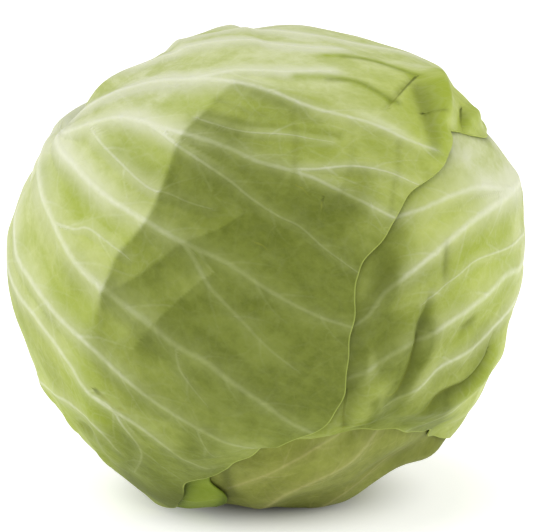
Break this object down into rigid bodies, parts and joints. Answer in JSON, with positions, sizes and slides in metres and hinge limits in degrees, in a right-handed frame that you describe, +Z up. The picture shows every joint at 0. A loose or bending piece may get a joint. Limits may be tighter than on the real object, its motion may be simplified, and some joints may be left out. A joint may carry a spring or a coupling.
{
  "type": "green cabbage",
  "caption": "Round head of green cabbage lying on its side, broad wrapper leaves with raised veins folded over one another, cut stalk at the back.",
  "frame": {"origin": "on the surface the head rests on, under the middle of the head's box", "axes": "+Z up from the resting surface, -Y towards the side where the leaf tips meet, +X to the right seen from there"},
  "size_m": [0.1803, 0.1766, 0.1642],
  "materials": {
    "heart": "pale yellow-green, waxy satin",
    "stalk": "cut cream-white fibrous stalk",
    "outer_leaf": "waxy green leaf skin, satin",
    "inner_leaf": "waxy pale green leaf skin, satin"
  },
  "bodies": {
    "root": {"heart": "heart", "stalk": "stalk", "leaf_1": "outer_leaf", "leaf_2": "outer_leaf", "leaf_3": "outer_leaf", "leaf_4": "outer_leaf", "leaf_5": "inner_leaf", "leaf_6": "inner_leaf"}
  },
  "joints": []
}
